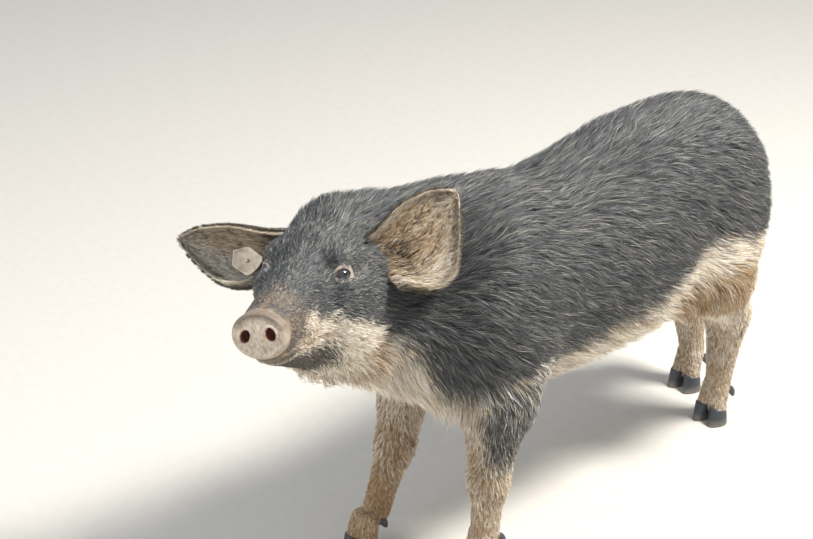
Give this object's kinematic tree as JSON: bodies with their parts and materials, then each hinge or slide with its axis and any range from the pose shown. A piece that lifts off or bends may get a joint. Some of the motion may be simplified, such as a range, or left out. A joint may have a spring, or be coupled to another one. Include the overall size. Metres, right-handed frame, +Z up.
{
  "type": "life-size pig model",
  "caption": "Life-size still model of a young swallow-bellied mangalica pig that stands with its head turned and raised, dark bristly coat above, straw below, ear tag in the right ear.",
  "frame": {"origin": "centre of the model's box seen from above, on the floor under the hooves", "axes": "+X towards the animal's left, +Y along the trunk from the head to the rump, +Z up"},
  "size_m": [0.3538, 0.9732, 0.5199],
  "materials": {
    "slate_bristles": "coarse, half glossy bristles",
    "straw_bristles": "coarse, half glossy bristles",
    "ear_skin_and_hair": "matte skin with sparse hair",
    "eye": "wet gloss",
    "horn": "satin horn",
    "tag_plastic": "satin moulded plastic"
  },
  "bodies": {
    "root": {"dewclaw_front_left_left": "horn", "dewclaw_front_left_right": "horn", "dewclaw_front_right_left": "horn", "dewclaw_front_right_right": "horn", "dewclaw_hind_left_left": "horn", "dewclaw_hind_left_right": "horn", "dewclaw_hind_right_left": "horn", "dewclaw_hind_right_right": "horn", "ear_left": "ear_skin_and_hair", "ear_right": "ear_skin_and_hair", "ear_tag_plate": "tag_plastic", "ear_tag_stud": "tag_plastic", "eye_left": "eye", "eye_right": "eye", "head": "slate_bristles", "hoof_front_left_left": "horn", "hoof_front_left_right": "horn", "hoof_front_right_left": "horn", "hoof_front_right_right": "horn", "hoof_hind_left_left": "horn", "hoof_hind_left_right": "horn", "hoof_hind_right_left": "horn", "hoof_hind_right_right": "horn", "leg_front_left": "straw_bristles", "leg_front_right": "straw_bristles", "leg_hind_left": "straw_bristles", "leg_hind_right": "straw_bristles", "neck": "slate_bristles", "tail": "slate_bristles", "torso": "slate_bristles"}
  },
  "joints": []
}
